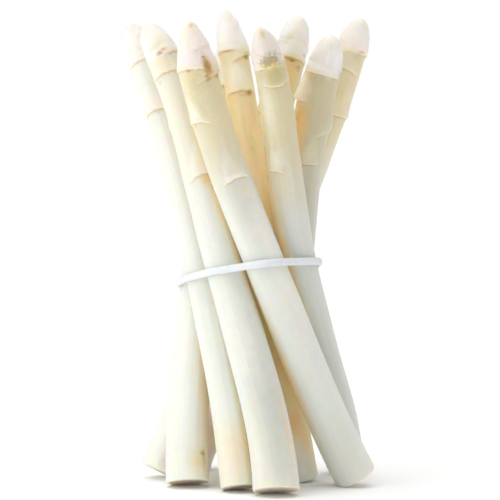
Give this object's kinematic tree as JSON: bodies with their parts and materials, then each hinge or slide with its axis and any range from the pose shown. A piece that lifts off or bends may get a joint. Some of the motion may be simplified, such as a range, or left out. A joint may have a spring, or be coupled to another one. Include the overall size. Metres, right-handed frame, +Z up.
{
  "type": "bundle of asparagus",
  "caption": "White asparagus spears with scale leaves and closed buds, leaning round each other and held at the waist by a thin elastic tie; stands on its cut ends.",
  "frame": {"origin": "on the surface that the bundle stands on, under the middle of its box", "axes": "+Z up, from the cut ends to the tips; -Y towards the side that shows the front spears; +X to the right of that side"},
  "size_m": [0.1142, 0.1033, 0.213],
  "materials": {
    "asparagus": "satin",
    "elastic": "matte"
  },
  "bodies": {
    "root": {"spear_far_left": "asparagus", "spear_left": "asparagus", "spear_front_left": "asparagus", "spear_centre": "asparagus", "spear_front": "asparagus", "spear_back_right": "asparagus", "spear_front_right": "asparagus", "spear_right": "asparagus", "spear_back": "asparagus", "tie_band": "elastic"}
  },
  "joints": []
}
